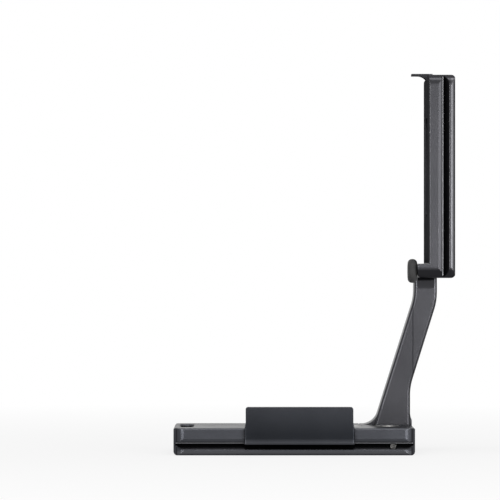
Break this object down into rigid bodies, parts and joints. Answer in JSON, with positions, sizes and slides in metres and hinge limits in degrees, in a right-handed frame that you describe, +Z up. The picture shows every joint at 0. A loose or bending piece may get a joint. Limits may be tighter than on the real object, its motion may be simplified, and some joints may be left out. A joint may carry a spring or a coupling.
{
  "type": "l-shaped camera mount plate",
  "caption": "L-shaped plate that fixes a camera with a battery grip to a tripod clamp, level or on its side, with a sliding side plate on a curved arm.",
  "frame": {"origin": "on the mounting screw's axis, at the base plate's upper face where the camera sits", "axes": "+X to the side plate, +Y to the rear of the camera, +Z up along the mounting screw"},
  "size_m": [0.1013, 0.041, 0.1372],
  "materials": {
    "base_anodised": "bead-blasted, black anodised, bright-worn edges",
    "side_anodised": "bead-blasted, black anodised, bright-worn edges",
    "stainless_screw": "turned stainless",
    "stainless_washer": "stamped stainless",
    "spring_steel": "phosphated spring steel",
    "black_steel": "black oxide",
    "insert_steel": "turned stainless",
    "key_steel": "blackened tool steel",
    "magnet_nickel": "nickel plated",
    "socket_steel": "turned stainless",
    "bumper_rubber": "matt moulded"
  },
  "bodies": {
    "base": {"base_plate": "base_anodised", "mounting_screw_ring": "spring_steel", "clamp_inserts": "insert_steel", "key_magnets": "magnet_nickel", "base_bushing": "insert_steel", "stop_screws": "black_steel"},
    "side": {"side_component": "side_anodised", "side_bushing": "insert_steel", "sling_socket": "socket_steel", "rubber_bumper": "bumper_rubber"},
    "mounting_washer": {"mounting_screw_washer": "stainless_washer"},
    "mounting_screw": {"mounting_screw": "stainless_screw"},
    "key": {"hex_key": "key_steel"},
    "clamp_washer_left": {"clamp_washer_left": "stainless_washer"},
    "clamp_screw_left": {"clamp_screw_left": "black_steel"},
    "clamp_washer_right": {"clamp_washer_right": "stainless_washer"},
    "clamp_screw_right": {"clamp_screw_right": "black_steel"}
  },
  "joints": [
    {"name": "side_slide", "type": "slide", "parent": "base", "child": "side", "axis": [1, 0, 0], "range_m": [0, 0.01]},
    {"name": "mounting_screw_drop", "type": "slide", "parent": "base", "child": "mounting_washer", "axis": [0, 0, -1], "range_m": [0, 0.0024]},
    {"name": "mounting_screw_turn", "type": "hinge", "parent": "mounting_washer", "child": "mounting_screw", "pos_m": [0, 0, 0], "axis": [0, 0, -1], "continuous": true},
    {"name": "key_lift", "type": "slide", "parent": "base", "child": "key", "axis": [0, 0, -1], "range_m": [0, 0.01]},
    {"name": "clamp_left_drop", "type": "slide", "parent": "base", "child": "clamp_washer_left", "axis": [0, 0, -1], "range_m": [0, 0.0004]},
    {"name": "clamp_left_turn", "type": "hinge", "parent": "clamp_washer_left", "child": "clamp_screw_left", "pos_m": [0.0292, 0, 0], "axis": [0, 0, -1], "range_deg": [0, 180]},
    {"name": "clamp_right_drop", "type": "slide", "parent": "base", "child": "clamp_washer_right", "axis": [0, 0, -1], "range_m": [0, 0.0004]},
    {"name": "clamp_right_turn", "type": "hinge", "parent": "clamp_washer_right", "child": "clamp_screw_right", "pos_m": [0.0432, 0, 0], "axis": [0, 0, -1], "range_deg": [0, 180]}
  ],
  "couplings": [
    {"joint": "clamp_left_turn", "follows": "clamp_left_drop", "rad_per_m": 7854},
    {"joint": "clamp_right_turn", "follows": "clamp_right_drop", "rad_per_m": 7854}
  ]
}
